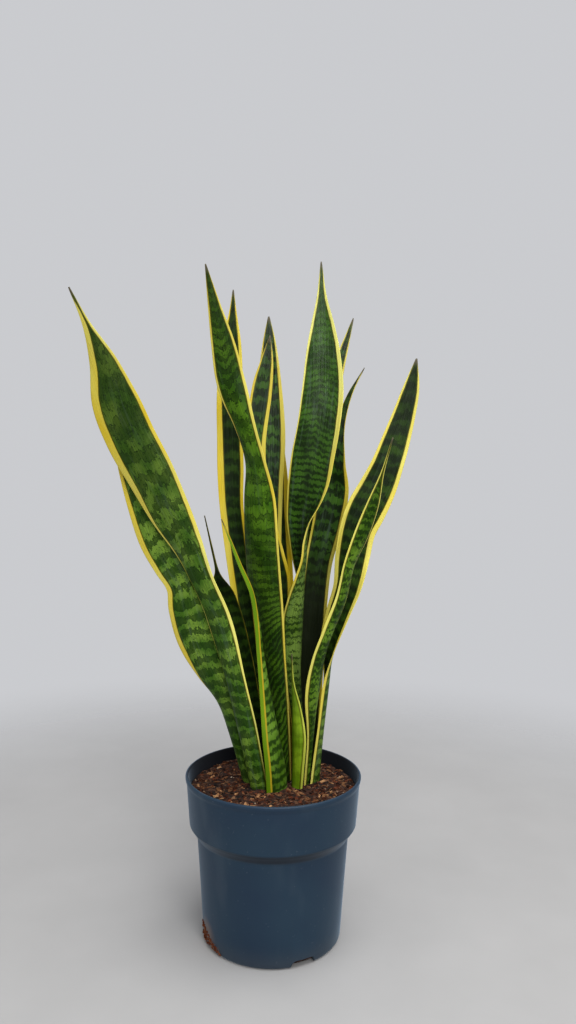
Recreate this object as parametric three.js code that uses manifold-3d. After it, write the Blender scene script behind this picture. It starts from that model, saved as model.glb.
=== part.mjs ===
// Potted snake plant: sixteen sword leaves with yellow margins, a soil plug and a round grower's pot.
// Millimetres, +Z up, origin at the middle of the pot's underside, the viewed side faces -Y.
import * as THREE from "three";
import { mergeVertices } from "three/addons/utils/BufferGeometryUtils.js";
import Module from "manifold-3d";

const wasm = await Module();
wasm.setup();

// Pot, overall
const POT_HEIGHT = 194;
const RIM_RADIUS = 105;
const COLLAR_TOP_RADIUS = 103.4;
const COLLAR_FOOT_RADIUS = 99.8;
const COLLAR_FOOT_Z = 137;
const BODY_TOP_RADIUS = 90.6;
const BODY_TOP_Z = 123.5;
const BODY_MIDDLE_RADIUS = 86.8;
const BODY_MIDDLE_Z = 70;
const FOOT_RADIUS = 82.2;
const FOOT_ROUND = 4.5;
const LIP_HEIGHT = 8;
const RIM_ROUND = 1.2;
const RIM_INNER_ROUND = 0.6;
const RIM_DROP = 1.4;
const INNER_FOOT_ROUND = 3;
const WALL = 2;
const FLOOR = 2.5;
const ROUND_SEGMENTS = 56;

// Bends of the pot's outline: how far in from the foot, the collar or the rim, and how far above or below
const FOOT_BEND = [1.2, 1.3];
const COLLAR_BENDS = [
  [5.2, 7.2],
  [2.2, 3.4],
  [0.8, 1.2],
];
const LIP_BENDS = [
  [0.6, 2],
  [0, 4],
];

// Drainage notches through the foot of the wall
const NOTCH_COUNT = 4;
const NOTCH_WIDTH = 30;
const NOTCH_HEIGHT = 8.5;
const NOTCH_INNER_RADIUS = 64;
const FIRST_NOTCH_DEG = 26;

// Soil plug
const SOIL_GAP = 0.3;
const SOIL_TOP = 178.5;
const SOIL_LUMP = 1.5;
const SOIL_RINGS = [88, 76, 63, 49, 34, 17];

// Leaf blades
const ROOT_THICKNESS = 3.2;
const TIP_THICKNESS = 1.6;
const MARGIN_THICKNESS = 0.8;
const HOLE_CLEARANCE = 0.4;
const HOLE_STATIONS = 2;
const THINNEST_HALF = 0.7;
const THICKNESS_PER_BEND = 1.3;
const SPINE_DIVISIONS = 400;

// Each row runs up the leaf's middle: x, y, z, the turn of its width about the upright in degrees and its half width.
// Cup is half the arc of the cross-section in degrees at the root and at the tip, and how fast it opens.
// Ripple is how far the margins swing out of the blade, and the length of one swing.
const LEAVES = [
  {
    name: "leaf_left_front",
    color: "#4d7a2c",
    cup: [70, 14, 2],
    ripple: [1.6, 130],
    across: 6,
    along: 26,
    rows: [
      [-13.5, -10, 150, 150, 15],
      [-20.5, -13, 190, 150, 15],
      [-39.5, -22, 281, 150, 16],
      [-64, -34, 379, 150, 17.5],
      [-86, -42, 434, 154, 18.5],
      [-100, -49, 469, 160, 20.5],
      [-120, -56, 509, 170, 25.5],
      [-139, -63, 549, 178, 28],
      [-159, -71, 588, 180, 28],
      [-174, -81, 627, 180, 26],
      [-185, -90, 668, 180, 15.5],
      [-200, -101, 706, 180, 4.5],
      [-216, -110, 742, 180, 0.7],
    ],
  },
  {
    name: "leaf_left_outer",
    color: "#4d7a2c",
    cup: [65, 14, 2],
    ripple: [1.6, 110],
    across: 6,
    along: 22,
    rows: [
      [-26.5, 14, 150, 145, 11],
      [-31.5, 12, 182, 147, 12],
      [-52.5, 5, 266, 155, 16],
      [-74, -1, 314, 165, 23],
      [-91.5, -7, 355, 172, 27],
      [-102, -13, 391, 178, 24.5],
      [-108.5, -18, 420, 179, 19.5],
      [-120, -24, 446, 180, 22.5],
      [-135, -30, 477, 180, 24],
      [-149, -38, 516, 180, 20.5],
      [-164, -47, 555, 180, 13.5],
      [-178, -55, 591, 180, 5],
      [-185, -60, 610, 180, 0.7],
    ],
  },
  {
    name: "leaf_tall_left",
    color: "#4d7a2c",
    cup: [62, 12, 2],
    ripple: [1, 140],
    across: 6,
    along: 26,
    rows: [
      [11, 20, 150, 155, 12.5],
      [10.5, 17, 190, 155, 13],
      [4.5, 8.5, 280, 153, 14.5],
      [-4, 1, 346, 150, 19],
      [-14, -8, 421, 150, 24],
      [-18, -14, 474, 150, 24],
      [-20, -20, 522, 148, 21.5],
      [-25, -26, 565, 138, 16.5],
      [-37, -31, 607, 150, 15],
      [-52, -37, 653, 175, 16.5],
      [-61, -44, 696, 180, 13.5],
      [-71, -51, 739, 180, 7],
      [-80, -58, 781, 180, 0.7],
    ],
  },
  {
    name: "leaf_back_left",
    color: "#355a26",
    cup: [55, 12, 2],
    ripple: [0.8, 140],
    across: 6,
    along: 22,
    rows: [
      [-19, 31, 150, 8, 8.5],
      [-22, 33, 239, 5, 10],
      [-28, 35, 309, 2, 11.5],
      [-37, 37, 376, 0, 13],
      [-47, 42, 448, 0, 14.5],
      [-55, 47, 510, 0, 15],
      [-57, 51, 555, 0, 16.5],
      [-58, 55, 591, 0, 16.5],
      [-59, 62, 654, 0, 16.5],
      [-58, 70, 712, 0, 12.5],
      [-57, 76, 755, 0, 5],
      [-57, 81, 785, 0, 0.7],
    ],
  },
  {
    name: "leaf_centre_front",
    color: "#355a26",
    cup: [55, 12, 2],
    ripple: [0.5, 140],
    across: 4,
    along: 20,
    rows: [
      [0, 40, 150, 0, 9.5],
      [-3, 40, 239, 0, 11],
      [-7, 43, 339, 0, 12],
      [-14, 48, 439, 0, 12.5],
      [-20.5, 52, 514, 0, 12.5],
      [-26, 55, 584, 0, 12.5],
      [-19.5, 58, 653, 0, 13],
      [-13.5, 59, 690, 0, 8.5],
      [-9.5, 62, 725, 0, 0.7],
    ],
  },
  {
    name: "leaf_centre_back",
    color: "#355a26",
    cup: [55, 12, 2],
    ripple: [0.5, 140],
    across: 4,
    along: 20,
    rows: [
      [1, 49, 150, 0, 11],
      [0, 50, 239, 0, 12.5],
      [-3, 53, 339, 0, 14],
      [-8, 56, 439, 0, 15.5],
      [-9, 60, 530, 0, 17.5],
      [-7, 64, 601, 0, 18],
      [-9.5, 70, 669, 0, 14.5],
      [-10.5, 73, 717, 0, 8.5],
      [-11.5, 76, 751, 0, 1],
    ],
  },
  {
    name: "leaf_centre_short",
    color: "#355a26",
    cup: [60, 14, 2],
    ripple: [0.5, 120],
    across: 4,
    along: 16,
    rows: [
      [15, 55, 150, 0, 8],
      [16, 58, 249, 0, 9.5],
      [15, 64, 348, 0, 11],
      [10.5, 69, 428, 0, 12],
      [5.5, 74, 499, 0, 12],
      [3.5, 79, 550, 0, 11],
      [4.5, 83, 602, 0, 3],
      [5, 86, 621, 0, 0.7],
    ],
  },
  {
    name: "leaf_centre_hidden",
    color: "#355a26",
    cup: [60, 14, 2],
    ripple: [0.5, 120],
    across: 4,
    along: 14,
    rows: [
      [13.5, 31, 150, 0, 7],
      [12, 31.5, 239, 0, 8],
      [12, 33, 329, 0, 10],
      [9, 36, 399, 0, 10.5],
      [8, 38, 424, 0, 10.5],
      [2, 38, 449, 0, 10],
      [-4, 40, 477, 0, 8],
      [-9, 42, 521, 0, 0.7],
    ],
  },
  {
    name: "leaf_tall_right",
    color: "#3c6429",
    cup: [80, 14, 0.7],
    ripple: [0.8, 140],
    across: 6,
    along: 34,
    rows: [
      [37, 32, 150, -145, 9],
      [32.5, 30.5, 220, -145, 10.5],
      [25, 28, 299, -143, 14.5],
      [24, 28, 340, -142, 17.5],
      [25, 27, 376, -138, 20],
      [27.5, 25, 400, -122, 21],
      [29.5, 24, 424, -97, 22.5],
      [30.5, 24, 448, -75, 24],
      [29.6, 24, 472, -65, 24.5],
      [31, 24, 496, -53, 26.2],
      [36.4, 25, 520, -31, 27.2],
      [40.6, 26, 545, -12, 28.5],
      [44.4, 26, 575, -2, 28.9],
      [50.7, 26, 612, 0, 28.1],
      [55.2, 28, 654, 0, 27],
      [55.3, 30, 698, 0, 21.9],
      [54.5, 33, 734, 0, 14.5],
      [53, 34, 769, 0, 6],
      [52, 36, 810, 0, 0.7],
    ],
  },
  {
    name: "leaf_right_back",
    color: "#2f5024",
    cup: [60, 14, 2],
    ripple: [0.8, 140],
    across: 6,
    along: 24,
    rows: [
      [43.5, 47, 150, 0, 12],
      [44.5, 48, 230, 0, 15],
      [45.5, 50, 309, 0, 17],
      [48, 53, 378, 0, 17.5],
      [54, 57, 439, 0, 17.5],
      [65, 57, 490, 0, 19.5],
      [72, 58, 530, -6, 19.5],
      [74, 58, 565, -28, 14.5],
      [77, 59, 600, -50, 12.5],
      [84, 59, 630, -66, 10],
      [93, 59, 656, -70, 6.5],
      [109, 60, 686, -80, 0.7],
    ],
  },
  {
    name: "leaf_back_right",
    color: "#3c6429",
    cup: [60, 14, 2],
    ripple: [0.5, 140],
    across: 4,
    along: 18,
    rows: [
      [38, 60, 150, 0, 9],
      [41, 62, 249, 0, 10],
      [43, 67, 348, 0, 11.5],
      [49, 74, 448, 0, 13],
      [57, 82, 550, 0, 13],
      [65, 88, 623, 0, 12],
      [75, 93, 676, 0, 9.5],
      [86, 96, 715, 0, 5.5],
      [98, 100, 755, 0, 0.7],
    ],
  },
  {
    name: "leaf_right",
    color: "#2f5024",
    cup: [72, 12, 2],
    ripple: [1, 120],
    across: 6,
    along: 28,
    rows: [
      [48.5, 11.5, 150, -106, 14.5],
      [55.2, 13.5, 229, -99, 14.6],
      [62.6, 14, 299, -92, 16.5],
      [66, 11, 343, -66, 19],
      [77, 11, 383, -46, 19.5],
      [88, 12, 418, -27, 19.5],
      [93.5, 17, 455, -6, 21.5],
      [99, 20, 484, 0, 22.5],
      [109, 23, 508, 0, 24.5],
      [123, 27, 535, 0, 23],
      [135, 30, 563, 0, 20],
      [146, 35, 594, 0, 17.5],
      [157, 41, 628, 0, 14],
      [166, 46, 661, 0, 10],
      [173, 52, 697, 0, 1],
    ],
  },
  {
    name: "leaf_right_front",
    color: "#5c8a3c",
    cup: [70, 18, 2],
    ripple: [0.8, 110],
    across: 4,
    along: 24,
    rows: [
      [38.5, 9, 150, -112, 6],
      [44, -1.5, 231, -120, 7.5],
      [46.6, -14, 293, -136, 12.6],
      [53, -20.5, 337, -131, 14],
      [64, -26.5, 372, -130, 12],
      [77, -31, 409, -135, 10.5],
      [85, -36, 448, -140, 10.5],
      [98, -38, 483, -152, 10.5],
      [110, -43, 519, -170, 7.5],
      [120, -47, 556, -180, 2],
      [130, -52, 594, -180, 0.7],
    ],
  },
  {
    name: "leaf_young",
    color: "#a9c92e",
    cup: [80, 40, 2],
    ripple: [0, 100],
    across: 4,
    along: 12,
    rows: [
      [26, -5, 150, 140, 9],
      [28, -9.5, 200, 140, 10.5],
      [28.5, -13, 240, 140, 12],
      [26, -13, 276, 140, 7.5],
      [22, -12, 306, 140, 2.2],
      [20.5, -12, 340, 140, 0.7],
    ],
  },
  {
    name: "leaf_narrow",
    color: "#8fb02c",
    cup: [64, 70, 2],
    ripple: [0, 100],
    across: 6,
    along: 20,
    rows: [
      [9, -10, 150, -127, 22.5],
      [5.5, -12.5, 200, -122, 23],
      [-3, -15, 251, -110, 21.5],
      [-11, -18, 301, -98, 17],
      [-17, -23, 346, -94, 12],
      [-21, -28, 381, -92, 9],
      [-27.5, -33, 416, -92, 7],
      [-41, -36, 448, -95, 5.5],
      [-52, -38, 476, -98, 3],
      [-62, -40, 500, -100, 0.7],
    ],
  },
  {
    name: "leaf_left_inner",
    color: "#2f5024",
    cup: [60, 20, 2],
    ripple: [0.5, 120],
    across: 4,
    along: 18,
    rows: [
      [-14, 22, 150, 10, 8],
      [-20, 22, 225, 8, 10],
      [-32, 22, 294, 5, 12],
      [-46, 20, 354, 0, 13.5],
      [-59, 19, 397, -8, 14],
      [-67, 18, 417, -20, 11.5],
      [-71, 17, 436, -38, 3],
      [-78, 17, 466, -48, 1.5],
      [-86, 16, 501, -50, 0.7],
    ],
  },
];

function solidFrom(geometry) {
  const bare = geometry.clone();
  bare.deleteAttribute("normal");
  bare.deleteAttribute("uv");
  const merged = mergeVertices(bare, 1e-4);
  const mesh = new wasm.Mesh({
    numProp: 3,
    vertProperties: new Float32Array(merged.attributes.position.array),
    triVerts: new Uint32Array(merged.index.array),
  });
  return new wasm.Manifold(mesh);
}

function geometryFrom(solid) {
  const mesh = solid.getMesh();
  const geometry = new THREE.BufferGeometry();
  geometry.setAttribute("position", new THREE.BufferAttribute(mesh.vertProperties, 3));
  geometry.setIndex(new THREE.BufferAttribute(mesh.triVerts, 1));
  return geometry;
}

// A closed blade between its inner and its outer face, both with the same grid of points.
function bladeBetween(inner, outer, across, along) {
  const width = across + 1;
  const start = inner.length;
  const points = [...inner, ...outer];
  const index = [];
  const quad = (a, b, c, d) => index.push(a, b, c, a, c, d);
  for (let j = 0; j < along; j += 1) {
    for (let i = 0; i < across; i += 1) {
      const a = j * width + i;
      const b = a + 1;
      const c = b + width;
      const d = a + width;
      quad(a, b, c, d);
      index.push(start + a, start + c, start + b, start + a, start + d, start + c);
    }
    const near = j * width;
    const far = near + across;
    quad(near, near + width, start + near + width, start + near);
    quad(start + far, start + far + width, far + width, far);
  }
  const top = along * width;
  for (let i = 0; i < across; i += 1) {
    quad(start + i, start + i + 1, i + 1, i);
    quad(top + i, top + i + 1, start + top + i + 1, start + top + i);
  }
  const geometry = new THREE.BufferGeometry();
  const flat = points.flatMap((p) => [p.x, p.y, p.z]);
  geometry.setAttribute("position", new THREE.BufferAttribute(new Float32Array(flat), 3));
  geometry.setIndex(index);
  return geometry;
}

// The blade of one leaf up to its last station, grown on all sides by the clearance asked for.
function bladeGeometry(leaf, grow, last) {
  const spine = new THREE.CatmullRomCurve3(
    leaf.rows.map(([x, y, z]) => new THREE.Vector3(x, y, z)),
    false,
    "catmullrom",
    0.5,
  );
  spine.arcLengthDivisions = SPINE_DIVISIONS;
  const shape = new THREE.CatmullRomCurve3(
    leaf.rows.map((row) => new THREE.Vector3(row[3], row[4], 0)),
    false,
    "catmullrom",
    0.5,
  );
  const length = spine.getLength();
  const [rootCup, tipCup, uncurl] = leaf.cup;
  const [swing, swingLength] = leaf.ripple;
  const inner = [];
  const outer = [];
  for (let j = 0; j <= last; j += 1) {
    const share = j / leaf.along;
    const t = spine.getUtoTmapping(share);
    const middle = spine.getPoint(t);
    const along = spine.getTangent(t);
    const { x: turn, y: measured } = shape.getPoint(t);
    const heading = THREE.MathUtils.degToRad(turn);
    const flat = new THREE.Vector3(Math.cos(heading), Math.sin(heading), 0);
    const side = flat.addScaledVector(along, -flat.dot(along)).normalize();
    const face = new THREE.Vector3().crossVectors(side, along);
    const half = Math.max(measured, THINNEST_HALF) + grow;
    const cupDeg = tipCup + (rootCup - tipCup) * (1 - share) ** uncurl;
    const cup = THREE.MathUtils.degToRad(cupDeg);
    const bend = half / cup;
    const wish = THREE.MathUtils.lerp(ROOT_THICKNESS, TIP_THICKNESS, share);
    const crown = Math.min(wish, Math.max(half, MARGIN_THICKNESS), THICKNESS_PER_BEND * bend);
    const margin = Math.min(MARGIN_THICKNESS, crown);
    const swell = swing * Math.sin(Math.PI * share);
    const wave = swell * Math.sin((2 * Math.PI * share * length) / swingLength);
    if (j === 0) middle.addScaledVector(along, -grow);
    for (let i = 0; i <= leaf.across; i += 1) {
      const u = (2 * i) / leaf.across - 1;
      const angle = cup * u;
      const deep = bend * (1 - Math.cos(angle)) - (bend * (1 - Math.cos(cup))) / 2;
      const point = middle.clone();
      point.addScaledVector(side, bend * Math.sin(angle));
      point.addScaledVector(face, deep + wave * u ** 3);
      const normal = face.clone().multiplyScalar(Math.cos(angle));
      normal.addScaledVector(side, -Math.sin(angle));
      const thick = (margin + (crown - margin) * (1 - u * u)) / 2 + grow;
      inner.push(point.clone().addScaledVector(normal, thick));
      outer.push(point.clone().addScaledVector(normal, -thick));
    }
  }
  return bladeBetween(inner, outer, leaf.across, last);
}

function turned(profile) {
  const points = profile.map(([radius, z]) => new THREE.Vector2(radius, z));
  return new THREE.LatheGeometry(points, ROUND_SEGMENTS).rotateX(Math.PI / 2);
}

function notchSolid(degrees) {
  const half = NOTCH_WIDTH / 2;
  const arch = new THREE.Shape();
  arch.moveTo(-half, -1);
  arch.lineTo(half, -1);
  arch.lineTo(half, 1);
  arch.quadraticCurveTo(half, NOTCH_HEIGHT, half / 2, NOTCH_HEIGHT);
  arch.lineTo(-half / 2, NOTCH_HEIGHT);
  arch.quadraticCurveTo(-half, NOTCH_HEIGHT, -half, 1);
  arch.closePath();
  const depth = RIM_RADIUS - NOTCH_INNER_RADIUS;
  const prism = new THREE.ExtrudeGeometry(arch, { depth, bevelEnabled: false, curveSegments: 4 });
  prism.translate(0, 0, NOTCH_INNER_RADIUS).rotateX(Math.PI / 2);
  prism.rotateZ(THREE.MathUtils.degToRad(degrees));
  return solidFrom(prism);
}

// The wall's inner face from the middle of the floor up to the lip.
const CAVITY = [
  [0, FLOOR],
  [FOOT_RADIUS - WALL - INNER_FOOT_ROUND, FLOOR],
  [FOOT_RADIUS - WALL, FLOOR + INNER_FOOT_ROUND],
  [BODY_TOP_RADIUS - WALL, BODY_TOP_Z + WALL / 2],
  [COLLAR_FOOT_RADIUS - WALL, COLLAR_FOOT_Z],
  [COLLAR_TOP_RADIUS - WALL, POT_HEIGHT - RIM_DROP],
];

function potGeometry() {
  const lipFoot = POT_HEIGHT - LIP_HEIGHT;
  const profile = [
    [0, 0],
    [FOOT_RADIUS - FOOT_ROUND, 0],
    [FOOT_RADIUS - FOOT_BEND[0], FOOT_BEND[1]],
    [FOOT_RADIUS, FOOT_ROUND],
    [BODY_MIDDLE_RADIUS, BODY_MIDDLE_Z],
    [BODY_TOP_RADIUS, BODY_TOP_Z],
    ...COLLAR_BENDS.map(([inward, down]) => [COLLAR_FOOT_RADIUS - inward, COLLAR_FOOT_Z - down]),
    [COLLAR_FOOT_RADIUS, COLLAR_FOOT_Z],
    [COLLAR_TOP_RADIUS, lipFoot],
    ...LIP_BENDS.map(([inward, up]) => [RIM_RADIUS - inward, lipFoot + up]),
    [RIM_RADIUS, POT_HEIGHT - RIM_DROP],
    [RIM_RADIUS - RIM_ROUND, POT_HEIGHT],
    [COLLAR_TOP_RADIUS - WALL + RIM_INNER_ROUND, POT_HEIGHT],
    ...CAVITY.toReversed(),
  ];
  let pot = solidFrom(turned(profile));
  for (let i = 0; i < NOTCH_COUNT; i += 1) {
    const angle = FIRST_NOTCH_DEG + (360 * i) / NOTCH_COUNT;
    pot = pot.subtract(notchSolid(angle));
  }
  return geometryFrom(pot);
}

// Low lumps of the soil's top.
function lump(x, y) {
  const broad = Math.sin(0.11 * x + 1.3) * Math.cos(0.09 * y - 0.4);
  const small = Math.sin(0.23 * x - 0.17 * y + 2);
  return SOIL_LUMP * (0.6 * broad + 0.4 * small);
}

function soilGeometry() {
  const below = CAVITY.slice(0, -1).map(([radius, z]) => [Math.max(radius - SOIL_GAP, 0), z + SOIL_GAP]);
  const [[footRadius, footZ], [lipRadius, lipZ]] = CAVITY.slice(-2);
  const rise = (SOIL_TOP - footZ) / (lipZ - footZ);
  const edge = THREE.MathUtils.lerp(footRadius, lipRadius, rise) - 1.5 * SOIL_GAP;
  const profile = [
    ...below,
    [edge, SOIL_TOP],
    ...SOIL_RINGS.map((radius) => [radius, SOIL_TOP]),
    [0, SOIL_TOP],
  ];
  const plug = turned(profile);
  const place = plug.attributes.position;
  for (let i = 0; i < place.count; i += 1) {
    if (place.getZ(i) < SOIL_TOP - 1) continue;
    place.setZ(i, SOIL_TOP + lump(place.getX(i), place.getY(i)));
  }
  let soil = solidFrom(plug);
  for (const leaf of LEAVES) {
    soil = soil.subtract(solidFrom(bladeGeometry(leaf, HOLE_CLEARANCE, HOLE_STATIONS)));
  }
  return geometryFrom(soil);
}

const group = new THREE.Group();

function addNode(name, geometry, color, roughness) {
  const material = new THREE.MeshStandardMaterial({ color, roughness, metalness: 0 });
  const mesh = new THREE.Mesh(geometry, material);
  mesh.name = name;
  group.add(mesh);
}

addNode("pot", potGeometry(), "#24374a", 0.6);
addNode("soil", soilGeometry(), "#5a4030", 0.95);
for (const leaf of LEAVES) {
  addNode(leaf.name, bladeGeometry(leaf, 0, leaf.along), leaf.color, 0.4);
}

export default group;
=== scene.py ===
import math
import random
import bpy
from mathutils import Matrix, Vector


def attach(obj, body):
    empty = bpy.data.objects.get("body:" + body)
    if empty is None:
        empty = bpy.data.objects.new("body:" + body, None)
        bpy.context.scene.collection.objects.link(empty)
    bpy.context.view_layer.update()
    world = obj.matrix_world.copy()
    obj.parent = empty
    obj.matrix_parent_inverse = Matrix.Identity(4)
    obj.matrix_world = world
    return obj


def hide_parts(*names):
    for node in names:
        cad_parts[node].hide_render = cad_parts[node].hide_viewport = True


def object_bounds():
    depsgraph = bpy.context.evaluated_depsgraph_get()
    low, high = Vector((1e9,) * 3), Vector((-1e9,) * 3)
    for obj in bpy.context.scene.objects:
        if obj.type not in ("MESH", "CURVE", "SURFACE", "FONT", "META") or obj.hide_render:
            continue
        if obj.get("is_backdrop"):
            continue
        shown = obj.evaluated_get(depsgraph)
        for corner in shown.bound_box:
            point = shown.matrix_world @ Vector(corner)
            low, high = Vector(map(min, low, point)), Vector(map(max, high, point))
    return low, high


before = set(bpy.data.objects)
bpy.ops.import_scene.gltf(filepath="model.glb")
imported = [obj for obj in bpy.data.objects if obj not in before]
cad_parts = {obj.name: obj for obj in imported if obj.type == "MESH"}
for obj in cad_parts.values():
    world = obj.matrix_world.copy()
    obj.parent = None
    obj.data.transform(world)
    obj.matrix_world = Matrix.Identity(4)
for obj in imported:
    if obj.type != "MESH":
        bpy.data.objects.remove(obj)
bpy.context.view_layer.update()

from types import SimpleNamespace

import bmesh
import bpy
from mathutils import Euler, Matrix, Vector, noise
from mathutils.kdtree import KDTree

mm = 0.001  # the object's own measures below are in millimetres
print("frame loaded, %d solids" % len(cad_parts))


# Helpers for meshes

def meshObject(bm, name):
    mesh = bpy.data.meshes.new(name)
    bm.to_mesh(mesh)
    bm.free()
    made = bpy.data.objects.new(name, mesh)
    bpy.context.scene.collection.objects.link(made)
    return made


def finishPiece(bm, name, replaced, materials, sharpAngle=None):
    piece = meshObject(bm, name)
    piece.data.shade_smooth()
    if sharpAngle:
        piece.data.set_sharp_from_angle(angle=math.radians(sharpAngle))
    for material in materials:
        piece.data.materials.append(material)
    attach(piece, "root")
    if replaced:
        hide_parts(*replaced)
    return piece


def roundCorners(bm, corners, radius, segments):
    bmesh.ops.bevel(
        bm, geom=corners, offset=radius, offset_type="OFFSET", affect="VERTICES",
        segments=segments, profile=0.5, material=-1,
    )


def profileSpin(bm, points, steps):  # a point is radius, height and rounding of the corner
    verts = [bm.verts.new((radius * mm, 0, z * mm)) for radius, z, _ in points]
    for pair in zip(verts, verts[1:]):
        bm.edges.new(pair)
    for vert, (_, _, rounding) in zip(verts, points):
        if rounding:
            roundCorners(bm, [vert], rounding * mm, 4)
    bmesh.ops.spin(
        bm, geom=bm.verts[:] + bm.edges[:], cent=(0, 0, 0), axis=(0, 0, 1), angle=2 * math.pi,
        steps=steps, use_merge=True,
    )
    bmesh.ops.remove_doubles(bm, verts=bm.verts[:], dist=0.00001)
    bmesh.ops.recalc_face_normals(bm, faces=bm.faces[:])


# Helpers for materials

def rgb(text):  # a screen colour as the light it stands for
    parts = [int(text[i:i + 2], 16) / 255 for i in (0, 2, 4)]
    return tuple(p / 12.92 if p <= 0.04045 else ((p + 0.055) / 1.055) ** 2.4 for p in parts) + (1.0,)


def feed(tree, sockets, values):  # each value is a link, a constant or the text of a screen colour
    for key, value in values.items():
        if isinstance(value, bpy.types.NodeSocket):
            tree.links.new(value, sockets[key])
        else:
            sockets[key].default_value = rgb(value) if isinstance(value, str) else value


def addNode(tree, kind, inputs=None, **settings):
    made = tree.nodes.new(kind)
    for key, value in settings.items():
        setattr(made, key, value)
    feed(tree, made.inputs, inputs or {})
    return made


def calc(tree, operation, *values, clamp=False):
    made = addNode(tree, "ShaderNodeMath", dict(enumerate(values)), operation=operation, use_clamp=clamp)
    return made.outputs[0]


def swayed(tree, base, wave, amount, clamp=False):  # the base, moved by a noise about its middle
    return calc(tree, "MULTIPLY_ADD", calc(tree, "SUBTRACT", wave, 0.5), amount, base, clamp=clamp)


def rangeTo(tree, value, fromLow, fromHigh, toLow=0.0, toHigh=1.0):
    made = addNode(tree, "ShaderNodeMapRange", {
        "Value": value, "From Min": fromLow, "From Max": fromHigh, "To Min": toLow, "To Max": toHigh,
    }, interpolation_type="SMOOTHSTEP")
    return made.outputs["Result"]


def mixColors(tree, factor, first, second, blend="MIX"):
    made = addNode(tree, "ShaderNodeMix", data_type="RGBA", blend_type=blend)
    feed(tree, made.inputs, {0: factor, 6: first, 7: second})
    return made.outputs[2]


def layered(tree, color, *layers):  # a layer is a mask, its strength and a colour
    for mask, strength, tint in layers:
        color = mixColors(tree, calc(tree, "MULTIPLY", mask, strength), color, tint)
    return color


def noiseAt(tree, vector, scale, detail=2.0, roughness=0.5):
    made = addNode(tree, "ShaderNodeTexNoise", {
        "Vector": vector, "Scale": scale, "Detail": detail, "Roughness": roughness,
    })
    return made.outputs["Fac"]


def vectorMath(tree, operation, vector, other=(0, 0, 0)):
    return addNode(tree, "ShaderNodeVectorMath", {0: vector, 1: other}, operation=operation).outputs


def split(tree, vector):
    return addNode(tree, "ShaderNodeSeparateXYZ", {0: vector}).outputs


def leafNoise(tree, where, acrossRate, alongRate, shift, detail, roughness=0.5):  # rates are per millimetre
    across, along, seed = where
    spot = addNode(tree, "ShaderNodeCombineXYZ", {
        0: calc(tree, "MULTIPLY", across, acrossRate),
        1: calc(tree, "MULTIPLY", along, alongRate),
        2: calc(tree, "ADD", seed, shift),
    }).outputs[0]
    return noiseAt(tree, spot, 1.0, detail, roughness)


def addBump(tree, height, strength, distance):
    made = addNode(tree, "ShaderNodeBump", {"Strength": strength, "Distance": distance, "Height": height})
    return made.outputs[0]


def objectSpot(tree):
    return addNode(tree, "ShaderNodeTexCoord").outputs["Object"]


def attribute(tree, name, output="Vector"):
    return addNode(tree, "ShaderNodeAttribute", attribute_name=name).outputs[output]


def newGroup(name, inputs, outputs):  # an input with no value is a vector, and all the rest are numbers
    group = bpy.data.node_groups.new(name, "ShaderNodeTree")
    for label, value in inputs.items():
        kind = "NodeSocketVector" if value is None else "NodeSocketFloat"
        socket = group.interface.new_socket(name=label, in_out="INPUT", socket_type=kind)
        if value is not None:
            socket.default_value = value
    for label in outputs:
        group.interface.new_socket(name=label, in_out="OUTPUT", socket_type="NodeSocketFloat")
    return group, group.nodes.new("NodeGroupInput").outputs, group.nodes.new("NodeGroupOutput").inputs


def placeGroup(tree, group, inputs):
    return addNode(tree, "ShaderNodeGroup", inputs, node_tree=group).outputs


def newMaterial(name):
    material = bpy.data.materials.new(name)
    material.use_nodes = True
    tree = material.node_tree
    return material, tree, tree.nodes["Principled BSDF"]


# Camera, placed as in the photograph

view = {
    "place": (0.0, -0.951, 0.5495),
    "focal": 28.23,
    "sensor": 36,
    "near": 0.02,
    "pitch": 2.56,
    "yaw": 0.86,
    "roll": 0.60,
}
cameraData = bpy.data.cameras.new("camera")
cameraData.lens = view["focal"]
cameraData.sensor_width = view["sensor"]
cameraData.clip_start = view["near"]
camera = bpy.data.objects.new("camera", cameraData)
bpy.context.scene.collection.objects.link(camera)
pitch, yaw, roll = (math.radians(view[key]) for key in ("pitch", "yaw", "roll"))
ahead = Vector((math.sin(yaw) * math.cos(pitch), math.cos(yaw) * math.cos(pitch), -math.sin(pitch)))
sideways = Vector((math.cos(yaw), -math.sin(yaw), 0))
upright = sideways.cross(ahead)
right = math.cos(roll) * sideways + math.sin(roll) * upright
top = -math.sin(roll) * sideways + math.cos(roll) * upright
camera.matrix_world = Matrix.Translation(view["place"]) @ Matrix((right, top, -ahead)).transposed().to_4x4()
bpy.context.scene.camera = camera
bpy.context.scene.view_settings.view_transform = "Standard"
bpy.context.scene.view_settings.look = "Medium High Contrast"


# Floor and studio light

studio = {
    "floorSize": 3.0,
    "floorDrop": 0.0002,
    "floorColor": "b4b3b2",
    "floorPatch": "aaa9a8",
    "floorFade": (0.5, 1.3),
    "floorRough": 0.7,
    "world": "bebfc2",
    "worldGlow": 0.82,
    "lamps": [  # name, place, aim, size, watts
        ("lampOver", (0.5, -0.4, 2.4), (0, 0, 0.3), 1.6, 30),
        ("lampFront", (0.7, -2.6, 1.7), (0, 0, 0.4), 1.6, 46),
        ("lampLeft", (-2.2, -1.2, 1.2), (0, 0, 0.4), 1.2, 8),
    ],
}
bm = bmesh.new()
bmesh.ops.create_circle(bm, cap_ends=True, cap_tris=False, segments=96, radius=studio["floorSize"] / 2)
floor = meshObject(bm, "floor")
floor.location.z = -studio["floorDrop"]
floor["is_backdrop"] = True
floorMaterial, tree, shader = newMaterial("paleFloor")
spot = objectSpot(tree)
floorColor = mixColors(tree, noiseAt(tree, spot, 9.0, 4.0), studio["floorColor"], studio["floorPatch"])
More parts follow.
